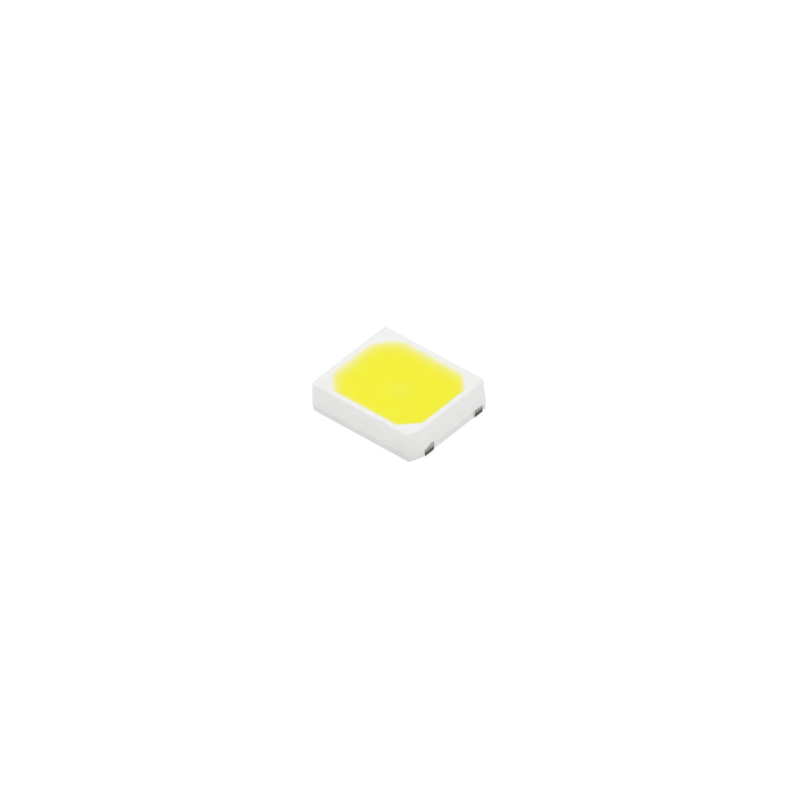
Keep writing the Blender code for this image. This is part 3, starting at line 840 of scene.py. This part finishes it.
def thinning_group():
    """How much white shows through the fill, from 1 at the mouth to 0 where it is deep.

    Each side of the octagon, named in FADES by its turn from +X in degrees, gives a distance inwards,
    counted from a start and divided by a width of its own. A smooth minimum of them is the depth, and
    the share falls off exponentially with it."""
    group = bpy.data.node_groups.new("thinning", "ShaderNodeTree")
    group.interface.new_socket("Wander", in_out="INPUT", socket_type="NodeSocketFloat")
    group.interface.new_socket("Share", in_out="OUTPUT", socket_type="NodeSocketFloat")
    given = group.nodes.new("NodeGroupInput").outputs
    x, y, _ = place_in_mm(group)
    reach_x, reach_y = CUP_X * PER_MM, CUP_Y * PER_MM
    reach_corner = (CUP_X + CUP_Y - CUP_CORNER_CUT) * PER_MM / math.sqrt(2)
    depth = None
    for turn, (start, width) in FADES.items():
        reach = (reach_corner if turn % 90 else (reach_y if turn % 180 else reach_x)) - start
        along_x = reckon(group, "MULTIPLY", x, -math.cos(math.radians(turn)) / width)
        inwards = reckon(group, "MULTIPLY_ADD", y, -math.sin(math.radians(turn)) / width, along_x)
        inwards = reckon(group, "ADD", inwards, reach / width)
        depth = inwards if depth is None else reckon(group, "SMOOTH_MIN", depth, inwards, FADE_ROUNDING)
    depth = reckon(group, "MAXIMUM", reckon(group, "ADD", depth, given["Wander"]), 0.0)
    share = reckon(group, "EXPONENT", reckon(group, "MULTIPLY", depth, -1.0))
    add(group, "NodeGroupOutput", [("Share", share)])
    return group


def phosphor_silicone():
    """Yellow phosphor in clear silicone: fine powder grain, cloudy where it settled, a paler patch
    over the chip, and whiter towards the mouth, where the layer thins out."""
    made, tree, shader = new_material("phosphor_silicone", roughness=0.42, ior=1.41)
    cloud = speckle(tree, 2.2, detail=3.0, low=0.3, high=0.7)
    powder = speckle(tree, 40.0, detail=3.0)
    deep = mixed(tree, cloud, *PHOSPHOR_YELLOW)
    deep = mixed(tree, reckon(tree, "MULTIPLY", powder, POWDER_SHARE), deep, POWDER_ORANGE)
    glow = reckon(tree, "MULTIPLY", nearness(tree, CHIP_GLOW, *CHIP_GLOW_REACH), CHIP_GLOW_SHARE)
    deep = mixed(tree, glow, deep, CHIP_GLOW_YELLOW)
    drift = speckle(tree, 3.0, detail=3.0)
    wander = reckon(tree, "MULTIPLY_ADD", drift, FADE_WANDER, -FADE_WANDER / 2)
    thin = add(tree, "ShaderNodeGroup", [("Wander", wander)], node_tree=THINNING).outputs["Share"]
    tree.links.new(mixed(tree, thin, deep, WALL_WHITE), shader.inputs["Base Color"])
    tree.links.new(ramp(tree, powder, 0.0, 1.0, to_low=0.36, to_high=0.5), shader.inputs["Roughness"])
    tree.links.new(bumped(tree, powder, distance=0.9 * UM), shader.inputs["Normal"])
    return made


THINNING = thinning_group()
fill = skin("phosphor_silicone_fill", fill_rings())
for block, radius in ((CHIP, GAP), (ADHESIVE, ADHESIVE_FOOT)):
    half_x, half_y, top = (side + GAP for side in block[1])
    rings = [block_ring(half_x, half_y, radius, z) for z in (HOLLOW_FOOT, top)]
    combine(fill, skin("hollow", np.array(rings)), "DIFFERENCE")
for start, foot in WIRES.values():
    combine(fill, skin("tunnel", wire_rings(start, foot, GAP)), "DIFFERENCE")
soften(fill, sharp_degrees=40)
put_on(fill, "phosphor_fill", phosphor_silicone())


# Floor
# A plain white ground. Anything that sees it directly finds white, with the package's soft shadow.
# From below it is clear, and so it is to a ray that leaves the package's underside just above it.
FLOOR_RADIUS = 0.15
FLOOR_POINTS = 64
FLOOR_WHITE = 0.80
FLOOR_SHADOW = 0.24
FLOOR_GLOW = 0.79
CONTACT = 60 * UM


def grey(value):
    """A grey colour with full alpha."""
    return (value, value, value, 1)


def seen_plainly(tree, path):
    """1 for what the camera sees, also by reflection or through something clear, and 0 for light."""
    seen = reckon(tree, "MAXIMUM", path["Is Camera Ray"], path["Is Glossy Ray"])
    return reckon(tree, "MAXIMUM", seen, path["Is Transmission Ray"])


def ground():
    """Pale ground. For the camera and for reflections it glows so that open ground is white and the
    shadow stays; its underside and very short rays pass through."""
    made = bpy.data.materials.new("white_ground")
    made.use_nodes = True
    tree = made.node_tree
    tree.nodes.remove(tree.nodes["Principled BSDF"])
    path = add(tree, "ShaderNodeLightPath").outputs
    seen = seen_plainly(tree, path)
    matt = add(tree, "ShaderNodeBsdfDiffuse", [("Color", grey(FLOOR_WHITE))]).outputs[0]
    shadow = add(tree, "ShaderNodeBsdfDiffuse", [("Color", grey(FLOOR_SHADOW))]).outputs[0]
    glow = add(tree, "ShaderNodeEmission", [("Color", grey(FLOOR_GLOW))]).outputs[0]
    shown = add(tree, "ShaderNodeAddShader", [(0, shadow), (1, glow)]).outputs[0]
    above = add(tree, "ShaderNodeMixShader", [(0, seen), (1, matt), (2, shown)]).outputs[0]
    close = reckon(tree, "LESS_THAN", path["Ray Length"], CONTACT)
    behind = add(tree, "ShaderNodeNewGeometry").outputs["Backfacing"]
    clear = add(tree, "ShaderNodeBsdfTransparent").outputs[0]
    away = reckon(tree, "MAXIMUM", close, behind)
    both = add(tree, "ShaderNodeMixShader", [(0, away), (1, above), (2, clear)]).outputs[0]
    tree.links.new(both, tree.nodes["Material Output"].inputs["Surface"])
    return made


ground_mesh = bpy.data.meshes.new("ground")
rim = level(arc(0, 0, FLOOR_RADIUS, 0, 360, FLOOR_POINTS + 1)[:-1], 0.0)
ground_mesh.from_pydata(rim.tolist(), [], [list(range(FLOOR_POINTS))])
ground_mesh.materials.append(ground())
floor = bpy.data.objects.new("ground", ground_mesh)
bpy.context.scene.collection.objects.link(floor)


# Light
# An even white sky for the soft studio fill, and a broad lamp high up on each side of the camera.
# The sky shows as plain white, and lights the package a little less strongly than that.
SKY = 0.80
LAMPS = {"left_lamp": (-27, 47, 0.50), "right_lamp": (113, 47, 0.55)}
LAMP_SPREAD = 50


def sky():
    """White all round: at full strength for what the camera and reflections see, lower as a light."""
    world = bpy.data.worlds.new("white_sky")
    world.use_nodes = True
    tree = world.node_tree
    path = add(tree, "ShaderNodeLightPath").outputs
    seen = seen_plainly(tree, path)
    lit = add(tree, "ShaderNodeBackground", [("Color", grey(1)), ("Strength", SKY)]).outputs[0]
    shown = add(tree, "ShaderNodeBackground", [("Color", grey(1)), ("Strength", 1.0)]).outputs[0]
    both = add(tree, "ShaderNodeMixShader", [(0, seen), (1, lit), (2, shown)]).outputs[0]
    tree.links.new(both, tree.nodes["World Output"].inputs["Surface"])
    return world


def direction(azimuth, elevation):
    """The unit vector from the package to something at an azimuth (0 is -Y, 90 is +X) and height."""
    a, e = math.radians(azimuth), math.radians(elevation)
    return Vector((math.sin(a) * math.cos(e), -math.cos(a) * math.cos(e), math.sin(e)))


bpy.context.scene.world = sky()
for lamp_name, (azimuth, elevation, strength) in LAMPS.items():
    lamp = bpy.data.objects.new(lamp_name, bpy.data.lights.new(lamp_name, "SUN"))
    lamp.data.energy = strength
    lamp.data.angle = math.radians(LAMP_SPREAD)
    lamp.rotation_mode = "QUATERNION"
    lamp.rotation_quaternion = direction(azimuth, elevation).to_track_quat("Z", "Y")
    bpy.context.scene.collection.objects.link(lamp)


# Camera
# A long lens, as in product close-ups, at the photograph's angle and roll. It is aimed so that the
# middle of the package lands where it lies in the photograph.
CAMERA_AZIMUTH = 43.69
CAMERA_ELEVATION = 40.82
CAMERA_ROLL = -3.45
LENS = 500.0
SENSOR = 36.0
FRAME_PX = 800
PX_PER_METRE = 39882.0
CLIP_NEAR = 0.001
CLIP_FAR = 10.0
MIDDLE = Vector((0, 0, 400 * UM))
MIDDLE_PX = (398.75, 396.62)

camera = bpy.data.objects.new("camera", bpy.data.cameras.new("camera"))
bpy.context.scene.collection.objects.link(camera)
camera.data.lens = LENS
camera.data.sensor_width = SENSOR
camera.data.clip_start = CLIP_NEAR
camera.data.clip_end = CLIP_FAR
back = direction(CAMERA_AZIMUTH, CAMERA_ELEVATION)
turned = back.to_track_quat("Z", "Y") @ Quaternion((0, 0, 1), math.radians(CAMERA_ROLL))
off_x, off_y = ((FRAME_PX / 2 - pixel) / PX_PER_METRE for pixel in MIDDLE_PX)
aim = MIDDLE + turned @ Vector((off_x, -off_y, 0))
camera.rotation_mode = "QUATERNION"
camera.rotation_quaternion = turned
camera.location = aim + back * (LENS / SENSOR * FRAME_PX / PX_PER_METRE)
bpy.context.scene.camera = camera

bpy.context.scene.view_settings.view_transform = "Standard"
